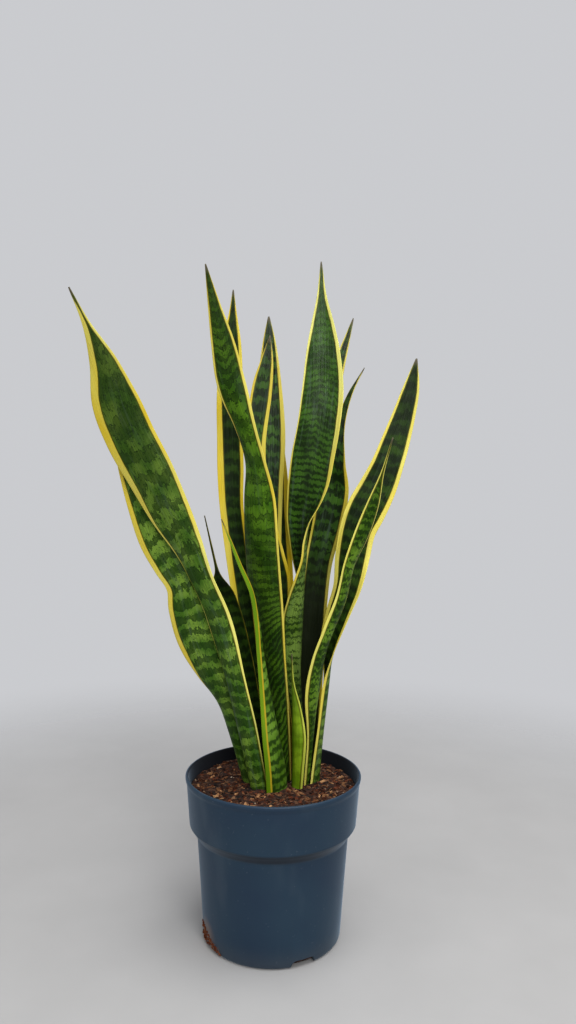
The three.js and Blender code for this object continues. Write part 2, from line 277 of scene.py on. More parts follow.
feed(tree, shader.inputs, {"Base Color": floorColor, "Roughness": studio["floorRough"]})
away = vectorMath(tree, "LENGTH", spot)["Value"]
clear = addNode(tree, "ShaderNodeBsdfTransparent").outputs[0]
fade = rangeTo(tree, away, *studio["floorFade"])
fading = addNode(tree, "ShaderNodeMixShader", {0: fade, 1: shader.outputs[0], 2: clear})
tree.links.new(fading.outputs[0], tree.nodes["Material Output"].inputs["Surface"])
floor.data.materials.append(floorMaterial)
world = bpy.data.worlds.new("studio")
world.use_nodes = True
air = world.node_tree
seen = air.nodes["Background"]
feed(air, seen.inputs, {"Color": studio["world"]})
glow = addNode(air, "ShaderNodeBackground", {"Color": studio["world"], "Strength": studio["worldGlow"]})
rays = addNode(air, "ShaderNodeLightPath").outputs["Is Camera Ray"]
either = addNode(air, "ShaderNodeMixShader", {0: rays, 1: glow.outputs[0], 2: seen.outputs[0]})
air.links.new(either.outputs[0], air.nodes["World Output"].inputs["Surface"])
bpy.context.scene.world = world
for name, place, aim, size, watts in studio["lamps"]:
    lamp = bpy.data.lights.new(name, "AREA")
    lamp.shape = "SQUARE"
    lamp.size = size
    lamp.energy = watts
    holder = bpy.data.objects.new(name, lamp)
    holder.location = place
    holder.rotation_euler = (Vector(aim) - Vector(place)).to_track_quat("-Z", "Y").to_euler()
    bpy.context.scene.collection.objects.link(holder)
print("camera, floor and lights")


# Effects shared by several materials

# Attributes of a leaf: leafPlace is across and along in millimetres and the count of bands. leafEdge is the
# distance past each yellow margin's inner line and the distance to the tip. leafTone is a seed, the warmth of
# the yellow and the darkness, which is painted shade. leafStyle is the slope of chevrons, their ridge and the
# strength of the bands.
bands, given, gives = newGroup("crossBands", {
    "Place": None, "Tone": None, "Style": None, "Jag": 0.5, "Wander": 0.5, "Break": 0.5, "Cover": 0.5,
    "Soft": 0.1, "LineRate": 2.0,
}, ("Mask", "Lines", "Drift"))
across, along, count = split(bands, given["Place"])
where = (across, along, split(bands, given["Tone"])[0])
chevron, ridgeAt = split(bands, given["Style"])[:2]
columns = leafNoise(bands, where, 0.22, 0.08, 0.0, 4.0, 0.62)
tilt = leafNoise(bands, where, 0.035, 0.014, 7.3, 2.0)
blotch = leafNoise(bands, where, 0.11, 0.2, 19.1, 5.0, 0.66)
clump = leafNoise(bands, where, 0.05, 0.03, 43.7, 3.0)
ridge = calc(bands, "ABSOLUTE", calc(bands, "SUBTRACT", swayed(bands, across, tilt, 14.0), ridgeAt))
phase = swayed(bands, count, columns, given["Jag"])
phase = swayed(bands, phase, tilt, given["Wander"])
phase = calc(bands, "MULTIPLY_ADD", ridge, chevron, phase)
swing = calc(bands, "COSINE", calc(bands, "MULTIPLY", phase, 2 * math.pi))
level = calc(bands, "MULTIPLY_ADD", swing, 0.5, 0.5)
level = swayed(bands, level, blotch, given["Break"])
level = swayed(bands, level, clump, given["Break"])
low = calc(bands, "SUBTRACT", 1.0, given["Cover"])
softFrom = calc(bands, "SUBTRACT", low, given["Soft"])
softTo = calc(bands, "ADD", low, given["Soft"])
thin = swayed(bands, calc(bands, "MULTIPLY", phase, given["LineRate"]), columns, 1.6)
thin = calc(bands, "ABSOLUTE", calc(bands, "SINE", calc(bands, "MULTIPLY", thin, math.pi)))
thin = rangeTo(bands, thin, 0.03, 0.3, 1.0, 0.0)
squiggle = calc(bands, "MULTIPLY", thin, rangeTo(bands, blotch, 0.4, 0.5))
rim = calc(bands, "ABSOLUTE", calc(bands, "SUBTRACT", level, low))
rim = rangeTo(bands, rim, 0.02, 0.11, 0.9, 0.0)
feed(bands, gives, {
    "Mask": rangeTo(bands, level, softFrom, softTo),
    "Lines": calc(bands, "MAXIMUM", squiggle, rim),
    "Drift": clump,
})

# Fine fibres that run the length of a leaf, a rib pattern for the bump and a painted sheen in long strokes:
# grey-blue reflected light laid into the colour.
fibres, given, gives = newGroup("leafFibres", {"Place": None, "Tone": None}, ("Streak", "Ribs", "Veil"))
where = split(fibres, given["Place"])[:2] + [split(fibres, given["Tone"])[0]]
veil = leafNoise(fibres, where, 0.17, 0.011, 57.0, 4.0, 0.65)
feed(fibres, gives, {
    "Streak": leafNoise(fibres, where, 0.9, 0.02, 0.0, 3.0, 0.6),
    "Ribs": leafNoise(fibres, where, 0.4, 0.006, 3.0, 3.0, 0.55),
    "Veil": rangeTo(fibres, veil, 0.5, 0.74),
})

# The yellow margins, the narrow dark line inside them, how deep the yellow is and the stripes in it.
margins, given, gives = newGroup("leafMargins", {
    "Place": None, "Edge": None, "Tone": None,
}, ("Yellow", "Line", "Depth", "Stripe"))
pastLeft, pastRight = split(margins, given["Edge"])[:2]
seed, warmth = split(margins, given["Tone"])[:2]
where = split(margins, given["Place"])[:2] + [seed]
ragged = leafNoise(margins, where, 0.3, 0.05, 0.0, 3.0, 0.6)
patches = leafNoise(margins, where, 0.05, 0.012, 31.0, 3.0)
lanes = leafNoise(margins, where, 1.1, 0.004, 71.0, 2.0)
past = swayed(margins, calc(margins, "MINIMUM", pastLeft, pastRight), ragged, 1.0)
offLine = calc(margins, "ABSOLUTE", calc(margins, "SUBTRACT", past, 0.35))
feed(margins, gives, {
    "Yellow": rangeTo(margins, past, -0.3, 0.3, 1.0, 0.0),
    "Line": rangeTo(margins, offLine, 0.15, 1.3, 1.0, 0.0),
    "Depth": swayed(margins, warmth, patches, 1.4, clamp=True),
    "Stripe": rangeTo(margins, lanes, 0.56, 0.68),
})

# Dust and fine specks on leaves and plastic.
dust, given, gives = newGroup("dustFilm", {"Place": None, "Scale": 30.0, "Amount": 0.3}, ("Mask", "Speck"))
film = noiseAt(dust, given["Place"], given["Scale"], 5.0, 0.6)
specks = noiseAt(dust, given["Place"], calc(dust, "MULTIPLY", given["Scale"], 12.0))
feed(dust, gives, {
    "Mask": calc(dust, "MULTIPLY", rangeTo(dust, film, 0.42, 0.75), given["Amount"]),
    "Speck": rangeTo(dust, specks, 0.68, 0.74),
})
print("shared effects")


# Pot

pot = {
    "steps": 192,
    "profile": [  # radius, height, rounding; from the middle of the underside up, and back down inside
        (0, 0, 0), (82.2, 0, 4.5), (86.8, 70, 0), (90.6, 123.5, 1.5), (94.6, 129.8, 3.0), (97.6, 133.6, 1.5),
        (99.0, 135.8, 0.6), (99.8, 137, 0.6), (103.4, 186, 1.6), (105, 189.8, 1.6), (105, 194, 1.6),
        (102, 194, 0.8), (101.4, 192.6, 0.6), (97.8, 137, 3.0), (88.6, 124.5, 2.0), (80.2, 5.5, 1.5),
        (77.2, 2.5, 0), (0, 2.5, 0),
    ],
    "notches": 4,
    "firstNotch": 26,  # degrees
    "notchWidth": 30,
    "notchHeight": 8.5,
    "notchRound": 0.75,  # share of its height
    "notchInner": 64,
    "notchReach": 45,
    "blue": "152e43",
    "blueWorn": "203b4b",
    "smear": "5a646c",
    "speck": "6d7578",
    "footDust": "5d5a55",
    # the inside wall's dark plastic, darkened further as painted shade; it also lays the painted shade under
    # the collar
    "shadeBlue": "070914",
    "insideWall": (89.8, 0.0655),  # the middle of the wall: radius at the floor and growth upward
    "insideAbove": (138, 141),
    # painted shade: a dark band on the downward slope under the collar, where the collar shades the wall
    "collarShadeHeight": 131,  # height of the dark line under the collar
    "collarShadeFade": (3.5, 7.5),
    "stain": "66544a",
    "stainPlace": (-76, -34, 18),
    "sheen": 0.34,
    "sheenTint": "b4cbe0",
}


def notchCutters():
    bm = bmesh.new()
    half, high = pot["notchWidth"] / 2 * mm, pot["notchHeight"] * mm
    outline = ((-half, -mm), (half, -mm), (half, high), (-half, high))
    for number in range(pot["notches"]):
        before = set(bm.verts)
        base = [bm.verts.new((x, -pot["notchInner"] * mm, z)) for x, z in outline]
        bm.faces.new(base)
        roundCorners(bm, base[2:], pot["notchRound"] * high, 6)
        own = [f for f in bm.faces if not any(v in before for v in f.verts)]
        made = bmesh.ops.extrude_face_region(bm, geom=own)
        moved = [v for v in made["geom"] if isinstance(v, bmesh.types.BMVert)]
        bmesh.ops.translate(bm, verts=moved, vec=(0, -pot["notchReach"] * mm, 0))
        turn = Matrix.Rotation(math.radians(pot["firstNotch"] + 360 * number / pot["notches"]), 3, "Z")
        bmesh.ops.rotate(bm, verts=[v for v in bm.verts if v not in before], cent=(0, 0, 0), matrix=turn)
    bmesh.ops.recalc_face_normals(bm, faces=bm.faces[:])
    return meshObject(bm, "notchCutters")


def notchedShell():
    bm = bmesh.new()
    profileSpin(bm, pot["profile"], pot["steps"])
    blank = meshObject(bm, "potBlank")
    cutter = notchCutters()
    cut = blank.modifiers.new("notches", "BOOLEAN")
    cut.operation = "DIFFERENCE"
    cut.solver = "EXACT"
    cut.object = cutter
    graph = bpy.context.evaluated_depsgraph_get()
    bm = bmesh.new()
    bm.from_mesh(blank.evaluated_get(graph).to_mesh())
    bpy.data.objects.remove(blank)
    bpy.data.objects.remove(cutter)
    return bm


def plasticMaterial():
    material, tree, shader = newMaterial("bluePlastic")
    spot = objectSpot(tree)
    film = placeGroup(tree, dust, {"Place": spot, "Scale": 22.0, "Amount": 0.35})
    grain = noiseAt(tree, spot, 900.0)
    cloud = noiseAt(tree, spot, 14.0, 4.0)
    smear = noiseAt(tree, vectorMath(tree, "MULTIPLY", spot, (1.0, 1.0, 0.35))[0], 26.0, 3.0)
    radius = vectorMath(tree, "LENGTH", vectorMath(tree, "MULTIPLY", spot, (1.0, 1.0, 0.0))[0])["Value"]
    height = split(tree, spot)[2]
    wallRadius, wallSlope = pot["insideWall"]
    inner = calc(tree, "SUBTRACT", radius, calc(tree, "MULTIPLY_ADD", height, wallSlope, wallRadius * mm))
    above = rangeTo(tree, height, *(z * mm for z in pot["insideAbove"]))
    inner = calc(tree, "MULTIPLY", rangeTo(tree, inner, 0.0, 0.0004, 1.0, 0.0), above)
    offCollarShade = calc(tree, "ABSOLUTE", calc(tree, "SUBTRACT", height, pot["collarShadeHeight"] * mm))
    stainAway = vectorMath(tree, "DISTANCE", spot, [v * mm for v in pot["stainPlace"]])["Value"]
    stainAway = calc(tree, "MULTIPLY_ADD", smear, 0.016, stainAway)
    color = layered(
        tree, pot["blue"],
        (rangeTo(tree, cloud, 0.3, 0.7), 0.5, pot["blueWorn"]),
        (rangeTo(tree, smear, 0.56, 0.72), 0.12, pot["smear"]),
        (film["Speck"], 0.16, pot["speck"]),
        (rangeTo(tree, height, 0.0, 0.03, 1.0, 0.0), 0.2, pot["footDust"]),
        (rangeTo(tree, stainAway, 0.016, 0.03, 1.0, 0.0), 0.85, pot["stain"]),
        # painted shade on the slope under the collar
        (rangeTo(tree, offCollarShade, *(z * mm for z in pot["collarShadeFade"]), 1.0, 0.0), 0.8, pot["shadeBlue"]),
        # the inside wall above the soil: the plastic's own dark blue and painted shade
        (inner, 1, pot["shadeBlue"]),
    )
    feed(tree, shader.inputs, {
        "Base Color": color,
        "Roughness": calc(tree, "MULTIPLY_ADD", inner, 0.3, calc(tree, "MULTIPLY_ADD", cloud, 0.1, 0.5)),
        "Specular IOR Level": 0.5,
        "Sheen Weight": pot["sheen"],
        "Sheen Tint": pot["sheenTint"],
        "Sheen Roughness": 0.35,
        "Normal": addBump(tree, grain, 0.2, 0.0003),
    })
    return material


piece = finishPiece(notchedShell(), "growerPot", ["pot"], [plasticMaterial()], sharpAngle=50)
print("pot: %d faces" % len(piece.data.polygons))


# Soil plug with its lumpy top

soil = {
    # Radius, height and rounding, just inside the pot
    "side": [(0, 2.8, 0), (76.9, 2.8, 0), (79.9, 5.8, 0), (88.3, 124.8, 0), (97.5, 137.3, 0)],
    "top": 178.5,
    "edge": 100.0,
    "edgeDrop": 1.0,
    "edgeFade": 4,
    "steps": 180,
    "ringGap": 2.6,
    "lumps": 1.5,
    "roughness": 2.2,
    "dark": "130b07",
    "brown": "45271a",
    "light": "7c5840",
}


def soilHeight(x, y, fade):  # millimetres; over the last stretch, the fade, it falls to the edge
    broad = math.sin(0.11 * x + 1.3) * math.cos(0.09 * y - 0.4)
    small = math.sin(0.23 * x - 0.17 * y + 2)
    crumb = noise.fractal(Vector((x * 0.09, y * 0.09, 4.0)), 1.0, 2.0, 3)
    lumpy = soil["top"] + soil["lumps"] * (0.6 * broad + 0.4 * small) + soil["roughness"] * crumb
    inward = max(0.0, min(1.0, (soil["edge"] + 1 - math.hypot(x, y)) / fade))
    return lumpy * inward + (soil["top"] - soil["edgeDrop"]) * (1 - inward)


def soilPlug():
    bm = bmesh.new()
    rings = []
    radius = soil["edge"]
    while radius > 1:
        rings.append((radius, soil["top"], 0))
        radius -= soil["ringGap"]
    profileSpin(bm, soil["side"] + rings + [(0, soil["top"], 0)], soil["steps"])
    upper = [v for v in bm.verts if v.co.z > (soil["top"] - 1) * mm]
    for vert in upper:
        vert.co.z = soilHeight(vert.co.x / mm, vert.co.y / mm, soil["edgeFade"]) * mm
    bmesh.ops.smooth_vert(bm, verts=upper, factor=0.2, use_axis_x=False, use_axis_y=False, use_axis_z=True)
    return bm


def peatMaterial():
    material, tree, shader = newMaterial("peatSoil")
    spot = objectSpot(tree)
    clod = noiseAt(tree, spot, 120.0, 6.0, 0.65)
    patch = noiseAt(tree, spot, 22.0, 3.0)
    chips = addNode(tree, "ShaderNodeTexVoronoi", {"Vector": spot, "Scale": 330.0}, feature="F1")
    chipTone = split(tree, chips.outputs["Color"])[0]
    color = layered(
        tree, soil["dark"],
        (rangeTo(tree, clod, 0.35, 0.65), 1, soil["brown"]),
        (rangeTo(tree, chipTone, 0.72, 0.95), 0.7, soil["light"]),
        (rangeTo(tree, patch, 0.45, 0.7), 0.45, soil["dark"]),
    )
    height = calc(tree, "MULTIPLY_ADD", chipTone, 0.4, clod)
    feed(tree, shader.inputs, {
        "Base Color": color,
        "Roughness": 0.95,
        "Normal": addBump(tree, height, 0.9, 0.003),
    })
    return material


piece = finishPiece(soilPlug(), "soilPlug", ["soil"], [peatMaterial()])
print("soil: %d faces" % len(piece.data.polygons))


# Leaves

leafSheet = {
    "columns": 24,
    "columnsNarrow": 14,
    "narrowUpTo": 13,  # half width
    "rowLength": 3.6,
    "samples": 400,  # steps that measure the length of a leaf
    "thickness": [(0, 3.2), (1, 1.6)],  # of the middle, by share of the length
    "marginThickness": 0.8,
    "leastHalf": 0.7,  # half width, at the tip
    "crownLimit": 1.3,  # the middle is no thicker than this share of the bend's radius
    "crowding": 0.55,  # how much the columns crowd toward the margins
    "edgeThinning": (0.6, 30),  # share taken off at the very margin, and how suddenly
}
leafDefaults = {
    "finish": ("deep", "deep"),
    "cup": (60, 14, 2),
    "ripple": (0.5, 140),
    "bands": [(0, 12), (1, 15)],
    "dark": [(0, 0.3), (0.12, 0.1), (0.5, 0.0), (0.8, 0.1), (1, 0.5)],
    "chevron": 0.01,
    "ridge": 0,
    "strength": 1,
}

# A leaf is named after its solid in the frame. Rows run up its middle: x, y, z, the turn of its width about
# the upright and half its width, in millimetres and degrees. Cup is the curl at the root and at the tip, and
# how fast it opens. Ripple is a height and a length. Finish names the palettes of its outer and inner face.
# By share of its length, minus and plus are the widths of the yellow margins, bands the distance between dark
# bands, strength how plain they are, warmth how deep the yellow is and dark how much painted shade darkens
# the leaf. Chevron is how many bands they rise per millimetre away from the ridge, which is a place across
# the leaf.
leaves = {
    "leafLeftFront": {
        "cup": (70, 14, 2), "ripple": (1.6, 130), "finish": ("bright", "deep"),
        "warmth": [(0, 0), (0.35, 0.1), (0.5, 0.25), (0.65, 0.35), (0.75, 0.75), (0.85, 0.6), (1, 0)],
        "strength": [(0, 1), (0.5, 1), (0.65, 0.8), (0.8, 0.5), (1, 0.3)],
        "dark": [(0, 0.2), (0.1, 0), (0.5, 0.05), (0.68, 0.36), (0.85, 0.5), (1, 0.6)],
        "minus": [(0, 1.6), (0.2, 2.2), (0.35, 3.2), (0.6, 4.4), (0.8, 3.8), (0.92, 2.6), (0.98, 0.4)],
        "plus": [
            (0, 0), (0.22, 0), (0.27, 2), (0.5, 2.6), (0.58, 3.4), (0.64, 7.5), (0.75, 9.5), (0.85, 9.5),
            (0.93, 5.4), (0.985, 0.6),
        ],
        "bands": [(0, 13), (0.3, 17), (0.5, 28), (0.8, 40), (1, 46)],
        "rows": [
            (-13.5, -10, 150, 150, 15), (-20.5, -13, 190, 150, 15), (-39.5, -22, 281, 150, 16),
            (-64, -34, 379, 150, 17.5), (-86, -42, 434, 154, 18.5), (-100, -49, 469, 160, 20.5),
            (-120, -56, 509, 170, 25.5), (-139, -63, 549, 178, 28), (-159, -71, 588, 180, 28),
            (-174, -81, 627, 180, 26), (-185, -90, 668, 180, 15.5), (-200, -101, 706, 180, 4.5),
            (-216, -110, 742, 180, 0.7),
        ],
    },
    "leafLeftOuter": {
        "cup": (65, 14, 2), "ripple": (1.6, 110), "finish": ("bright", "deep"), "warmth": 0.6,
        "minus": 2.5,
        "plus": [
            (0, 0), (0.27, 0), (0.33, 3.5), (0.42, 8.5), (0.52, 7), (0.6, 6.5), (0.72, 7.5), (0.85, 5),
            (0.98, 0.6),
        ],
        "dark": [(0, 0.2), (0.1, 0), (0.8, 0), (1, 0.4)],
        "bands": [(0, 13), (0.4, 17), (0.7, 24), (1, 32)],
        "rows": [
            (-26.5, 14, 150, 145, 11), (-31.5, 12, 182, 147, 12), (-52.5, 5, 266, 155, 16),
            (-74, -1, 314, 165, 23), (-91.5, -7, 355, 172, 27), (-102, -13, 391, 178, 24.5),
            (-108.5, -18, 420, 179, 19.5), (-120, -24, 446, 180, 22.5), (-135, -30, 477, 180, 24),
            (-149, -38, 516, 180, 20.5), (-164, -47, 555, 180, 13.5), (-178, -55, 591, 180, 5),
            (-185, -60, 610, 180, 0.7),
        ],
    },
    "leafTallLeft": {
        "cup": (62, 12, 2), "ripple": (1, 140), "finish": ("fine", "deep"), "warmth": 0.5,
        "chevron": [(0, -0.04), (0.08, -0.14), (0.32, -0.14), (0.42, 0), (0.72, 0), (0.8, -0.07), (1, -0.07)],
        "ridge": [(0, 7), (0.4, 6), (0.7, 0), (1, 0)],
        "strength": [(0, 1), (0.35, 0.9), (0.48, 0.5), (0.7, 0.5), (0.8, 0.7), (1, 0.4)],
        "dark": [
            (0, 0.3), (0.12, 0.15), (0.3, 0.3), (0.48, 0.3), (0.58, 0), (0.74, 0.1), (0.85, 0.35), (1, 0.6),
        ],
        "minus": [(0, 2.2), (0.5, 2.8), (0.75, 3.6), (0.9, 2.4), (0.985, 0.5)],
        "plus": [(0, 0), (0.64, 0), (0.7, 1.6), (0.8, 2.6), (0.92, 2.2), (0.985, 0.5)],
        "bands": [(0, 12), (0.35, 9), (0.5, 12), (0.58, 24), (0.72, 24), (0.8, 14), (1, 10)],
        "rows": [
            (11, 20, 150, 155, 12.5), (10.5, 17, 190, 155, 13), (4.5, 8.5, 280, 153, 14.5),
            (-4, 1, 346, 150, 19), (-14, -8, 421, 150, 24), (-18, -14, 474, 150, 24),
            (-20, -20, 522, 148, 21.5), (-25, -26, 565, 138, 16.5), (-37, -31, 607, 150, 15),
            (-52, -37, 653, 175, 16.5), (-61, -44, 696, 180, 13.5), (-71, -51, 739, 180, 7),
            (-80, -58, 781, 180, 0.7),
        ],
    },
    "leafBackLeft": {
        "cup": (55, 12, 2), "ripple": (0.8, 140), "warmth": 0.75,
        "minus": [(0, 3), (0.4, 7.5), (0.65, 8.2), (0.85, 5.5), (0.97, 0.8)],
        "plus": [(0, 2), (0.45, 3), (0.65, 4.2), (0.78, 5.2), (0.92, 3), (0.98, 0.6)],
        "bands": [(0, 13), (0.5, 16), (1, 22)],
        "rows": [
            (-19, 31, 150, 8, 8.5), (-22, 33, 239, 5, 10), (-28, 35, 309, 2, 11.5), (-37, 37, 376, 0, 13),
            (-47, 42, 448, 0, 14.5), (-55, 47, 510, 0, 15), (-57, 51, 555, 0, 16.5), (-58, 55, 591, 0, 16.5),
            (-59, 62, 654, 0, 16.5), (-58, 70, 712, 0, 12.5), (-57, 76, 755, 0, 5), (-57, 81, 785, 0, 0.7),
        ],
    },
    "leafCentreFront": {
        "cup": (55, 12, 2), "finish": ("deep", "mid"), "warmth": 0.7,
        "minus": [(0, 2), (0.5, 2.6), (0.9, 2.8), (0.98, 0.6)],
        "plus": [(0, 2.5), (0.5, 4), (0.75, 5.4), (0.92, 3.4), (0.985, 0.5)],
        "bands": [(0, 13), (0.6, 14), (1, 18)],
        "rows": [
            (0, 40, 150, 0, 9.5), (-3, 40, 239, 0, 11), (-7, 43, 339, 0, 12), (-14, 48, 439, 0, 12.5),
            (-20.5, 52, 514, 0, 12.5), (-26, 55, 584, 0, 12.5), (-19.5, 58, 653, 0, 13),
            (-13.5, 59, 690, 0, 8.5), (-9.5, 62, 725, 0, 0.7),
        ],
    },
    "leafCentreBack": {
        "cup": (55, 12, 2), "finish": ("deep", "mid"), "warmth": 0.45,
        "minus": [(0, 2), (0.6, 2.6), (0.9, 2.4), (0.98, 0.6)],
        "plus": [(0, 3), (0.6, 5.2), (0.75, 5.8), (0.9, 3.2), (0.98, 0.6)],
        "bands": [(0, 13), (0.6, 14), (1, 18)],
        "rows": [
            (1, 49, 150, 0, 11), (0, 50, 239, 0, 12.5), (-3, 53, 339, 0, 14), (-8, 56, 439, 0, 15.5),
            (-9, 60, 530, 0, 17.5), (-7, 64, 601, 0, 18), (-9.5, 70, 669, 0, 14.5), (-10.5, 73, 717, 0, 8.5),
            (-11.5, 76, 751, 0, 1),
        ],
    },
    "leafCentreShort": {
        "ripple": (0.5, 120), "warmth": 0.85,
        "minus": [(0, 2), (0.6, 3), (0.97, 1.4)],
        "plus": [(0, 4), (0.5, 6.5), (0.8, 6.5), (0.97, 1.5)],
        "rows": [
            (15, 55, 150, 0, 8), (16, 58, 249, 0, 9.5), (15, 64, 348, 0, 11), (10.5, 69, 428, 0, 12),
            (5.5, 74, 499, 0, 12), (3.5, 79, 550, 0, 11), (4.5, 83, 602, 0, 3), (5, 86, 621, 0, 0.7),
        ],
    },
    "leafCentreHidden": {
        "ripple": (0.5, 120), "warmth": 1,
        "minus": [(0, 2), (0.6, 2.5), (0.97, 1)],
        "plus": [(0, 3), (0.5, 3.6), (0.8, 4), (0.97, 1)],
        "rows": [
            (13.5, 31, 150, 0, 7), (12, 31.5, 239, 0, 8), (12, 33, 329, 0, 10), (9, 36, 399, 0, 10.5),
            (8, 38, 424, 0, 10.5), (2, 38, 449, 0, 10), (-4, 40, 477, 0, 8), (-9, 42, 521, 0, 0.7),
        ],
    },
    "leafTallRight": {
        "cup": (80, 14, 0.7), "ripple": (0.8, 140), "finish": ("pale", "mid"),
        "warmth": [(0, 0.42), (0.6, 0.45), (0.75, 0.05), (1, -0.3)],
        "chevron": [(0, 0), (0.6, 0.01), (0.7, 0.04), (0.82, 0.04), (1, 0)],
        "ridge": [(0, 0), (0.7, -3), (1, 0)],
        "strength": [(0, 1), (0.5, 1), (0.6, 0.85), (0.75, 0.6), (0.85, 0.35), (1, 0.1)],
        "dark": [(0, 0.3), (0.12, 0.1), (0.5, 0), (0.62, 0.18), (0.85, 0.15), (1, 0.5)],
        "minus": [
            (0, 1.2), (0.45, 1.6), (0.6, 2.2), (0.68, 1.4), (0.76, 2), (0.88, 3.2), (0.93, 2.4), (0.985, 0.5),
        ],
        "plus": [
            (0, 2.2), (0.35, 2.4), (0.5, 4), (0.62, 5.6), (0.76, 6.6), (0.84, 4.6), (0.93, 3), (0.985, 0.5),
        ],
        "bands": [(0, 10), (0.45, 8), (0.6, 8), (0.8, 8), (1, 10)],
        "rows": [
            (37, 32, 150, -145, 9), (32.5, 30.5, 220, -145, 10.5), (25, 28, 299, -143, 14.5),
            (24, 28, 340, -142, 17.5), (25, 27, 376, -138, 20), (27.5, 25, 400, -122, 21),
            (29.5, 24, 424, -97, 22.5), (30.5, 24, 448, -75, 24), (29.6, 24, 472, -65, 24.5),
            (31, 24, 496, -53, 26.2), (36.4, 25, 520, -31, 27.2), (40.6, 26, 545, -12, 28.5),
            (44.4, 26, 575, -2, 28.9), (50.7, 26, 612, 0, 28.1), (55.2, 28, 654, 0, 27),
            (55.3, 30, 698, 0, 21.9), (54.5, 33, 734, 0, 14.5), (53, 34, 769, 0, 6), (52, 36, 810, 0, 0.7),
        ],
    },
    "leafRightBack": {
        "ripple": (0.8, 140), "finish": ("deep", "mid"), "warmth": 0.55,
        "dark": [(0, 1), (0.42, 1), (0.52, 0.55), (0.62, 0), (0.8, 0.1), (1, 0.4)],
        "minus": [(0, 2.5), (0.8, 3), (0.95, 0.8)],
        "plus": [(0, 2.5), (0.5, 4), (0.65, 5.4), (0.74, 4), (0.8, 1.2), (0.97, 0.6)],
        "bands": [(0, 12), (0.6, 15), (1, 20)],
        "rows": [
            (43.5, 47, 150, 0, 12), (44.5, 48, 230, 0, 15), (45.5, 50, 309, 0, 17), (48, 53, 378, 0, 17.5),
            (54, 57, 439, 0, 17.5), (65, 57, 490, 0, 19.5), (72, 58, 530, -6, 19.5), (74, 58, 565, -28, 14.5),
            (77, 59, 600, -50, 12.5), (84, 59, 630, -66, 10), (93, 59, 656, -70, 6.5),
            (109, 60, 686, -80, 0.7),
        ],
    },
    "leafBackRight": {
        "finish": ("deep", "mid"), "warmth": 0.35,
        "minus": [(0, 2.5), (0.7, 3.4), (0.9, 2.6), (0.98, 0.6)],
        "plus": [(0, 2.5), (0.7, 3), (0.9, 2.2), (0.98, 0.5)],
        "rows": [
            (38, 60, 150, 0, 9), (41, 62, 249, 0, 10), (43, 67, 348, 0, 11.5), (49, 74, 448, 0, 13),
            (57, 82, 550, 0, 13), (65, 88, 623, 0, 12), (75, 93, 676, 0, 9.5), (86, 96, 715, 0, 5.5),
            (98, 100, 755, 0, 0.7),
        ],
    },
    "leafRight": {
        "cup": (72, 12, 2), "ripple": (1, 120), "finish": ("bright", "deep"), "warmth": 0.4,
        "minus": [(0, 2.5), (0.3, 3.4), (0.55, 5.4), (0.65, 5), (0.8, 3.4), (0.93, 2.4), (0.985, 0.5)],
        "plus": [(0, 2.5), (0.3, 4), (0.5, 6), (0.62, 6.4), (0.72, 5), (0.85, 4), (0.94, 2.8), (0.985, 0.5)],
        "bands": [(0, 12), (0.5, 14), (1, 20)],
        "rows": [
            (48.5, 11.5, 150, -106, 14.5), (55.2, 13.5, 229, -99, 14.6), (62.6, 14, 299, -92, 16.5),
            (66, 11, 343, -66, 19), (77, 11, 383, -46, 19.5), (88, 12, 418, -27, 19.5),
            (93.5, 17, 455, -6, 21.5), (99, 20, 484, 0, 22.5), (109, 23, 508, 0, 24.5), (123, 27, 535, 0, 23),
            (135, 30, 563, 0, 20), (146, 35, 594, 0, 17.5), (157, 41, 628, 0, 14), (166, 46, 661, 0, 10),
            (173, 52, 697, 0, 1),
        ],
    },
    "leafRightFront": {
        "cup": (70, 18, 2), "ripple": (0.8, 110), "finish": ("fresh", "mid"), "warmth": 0.3,
        "minus": [(0, 1.6), (0.5, 1.8), (0.9, 1.4), (0.98, 0.4)],
        "plus": [(0, 2), (0.2, 2.4), (0.35, 3.6), (0.5, 3.2), (0.7, 2.2), (0.9, 1.5), (0.98, 0.4)],
        "bands": [(0, 8), (1, 10)],
        "rows": [
            (38.5, 9, 150, -112, 6), (44, -1.5, 231, -120, 7.5), (46.6, -14, 293, -136, 12.6),
            (53, -20.5, 337, -131, 14), (64, -26.5, 372, -130, 12), (77, -31, 409, -135, 10.5),
            (85, -36, 448, -140, 10.5), (98, -38, 483, -152, 10.5), (110, -43, 519, -170, 7.5),
            (120, -47, 556, -180, 2), (130, -52, 594, -180, 0.7),
        ],
    },
    "leafYoung": {
        "cup": (80, 40, 2), "ripple": (0, 100), "finish": ("lime", "lime"), "warmth": 0.25,
        "minus": [(0, 3), (0.4, 3.2), (0.6, 2), (0.9, 1), (1, 0.3)],
        "plus": [(0, 0.8), (0.6, 1), (1, 0.3)],
        "bands": 12,
        "dark": 0,
        "rows": [
            (26, -5, 150, 140, 9), (28, -9.5, 200, 140, 10.5), (28.5, -13, 240, 140, 12),
            (26, -13, 276, 140, 7.5), (22, -12, 306, 140, 2.2), (20.5, -12, 340, 140, 0.7),
        ],
    },
    "leafNarrow": {
        "cup": (64, 70, 2), "ripple": (0, 100), "finish": ("strip", "mid"), "warmth": 0.4,
        "minus": [(0, 1.8), (0.6, 1.6), (1, 0.4)],
        "plus": [(0, 5.8), (0.3, 5.2), (0.42, 4.4), (0.6, 4.4), (0.74, 5.4), (0.87, 4), (1, 0.4)],
        "bands": [(0, 11), (1, 14)],
        "rows": [
            (9, -10, 150, -127, 22.5), (5.5, -12.5, 200, -122, 23), (-3, -15, 251, -110, 21.5),
            (-11, -18, 301, -98, 17), (-17, -23, 346, -94, 12), (-21, -28, 381, -92, 9),
